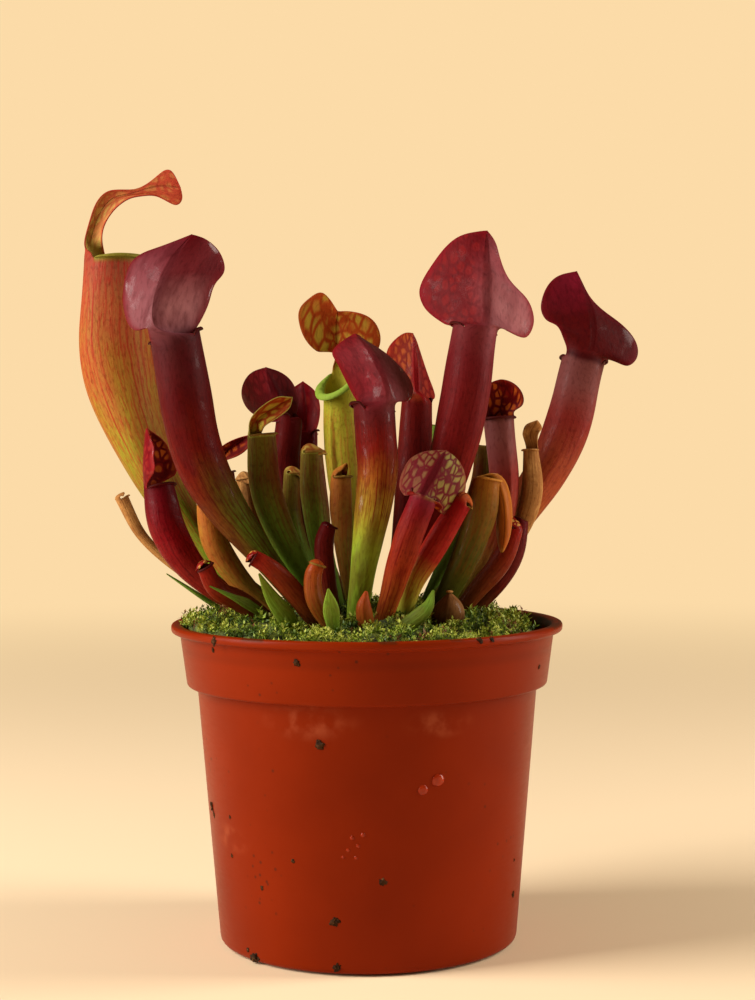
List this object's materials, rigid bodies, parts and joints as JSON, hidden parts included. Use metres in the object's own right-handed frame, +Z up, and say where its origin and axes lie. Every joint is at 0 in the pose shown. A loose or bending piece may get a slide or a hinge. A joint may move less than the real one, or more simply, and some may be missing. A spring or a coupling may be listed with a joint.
{
  "type": "potted pitcher plant",
  "caption": "Clump of hooded trumpet pitchers growing through moss in a round tapered plastic nursery pot with a deep collar.",
  "frame": {"origin": "middle of the pot's foot on the surface it stands on, which is also the middle of the object's box within about 1 mm", "axes": "+Z up out of the pot; -Y is the clump's front, where the low pitchers and buds grow; +X is to the right as seen from the front"},
  "size_m": [0.1382, 0.09, 0.1797],
  "materials": {
    "terracotta_plastic": "semi-gloss injection-moulded, lightly scuffed",
    "compost": "damp peat with coarse grains",
    "moss": "living moss, matt and tufted",
    "rhizome": "brown fibrous creeping stem",
    "maroon_leaf": "waxy living leaf, dark red with fine veins",
    "red_leaf": "waxy living leaf, red with stripes",
    "striped_leaf": "waxy living leaf, yellow-green with red veins",
    "green_leaf": "waxy living leaf, green",
    "dried_leaf": "dried leaf, tan and papery"
  },
  "bodies": {
    "root": {"pot": "terracotta_plastic", "compost": "compost", "rhizome": "rhizome", "moss_carpet": "moss", "front_left_pitcher": "maroon_leaf", "centre_pitcher": "maroon_leaf", "right_tall_pitcher": "maroon_leaf", "far_right_pitcher": "maroon_leaf", "back_left_tall_pitcher": "striped_leaf", "back_centre_pitcher": "green_leaf", "back_right_pitcher": "maroon_leaf", "spotted_pitcher": "red_leaf", "red_green_pitcher": "red_leaf", "right_middle_pitcher": "maroon_leaf", "green_left_pitcher": "green_leaf", "dark_back_left_pitcher": "maroon_leaf", "red_back_pitcher": "red_leaf", "low_left_pitcher": "red_leaf", "small_red_left_pitcher": "red_leaf", "brown_arched_pitcher": "dried_leaf", "green_arched_pitcher": "green_leaf", "brown_middle_pitcher": "striped_leaf", "orange_middle_pitcher": "dried_leaf", "olive_arched_pitcher": "striped_leaf", "tan_dried_pitcher": "dried_leaf", "low_right_pitcher": "red_leaf", "far_left_dried_pitcher": "dried_leaf", "amber_left_pitcher": "striped_leaf", "left_bud": "red_leaf", "front_red_bud": "red_leaf", "rust_bud": "striped_leaf", "dark_bud": "maroon_leaf", "olive_back_pitcher": "green_leaf", "green_back_pitcher": "green_leaf", "low_right_back_pitcher": "maroon_leaf", "amber_bud": "striped_leaf", "brown_cup": "dried_leaf", "right_leaflet": "green_leaf", "front_leaflet": "green_leaf", "left_leaflet": "green_leaf", "left_phyllode": "green_leaf", "far_left_spike": "green_leaf"}
  },
  "joints": []
}
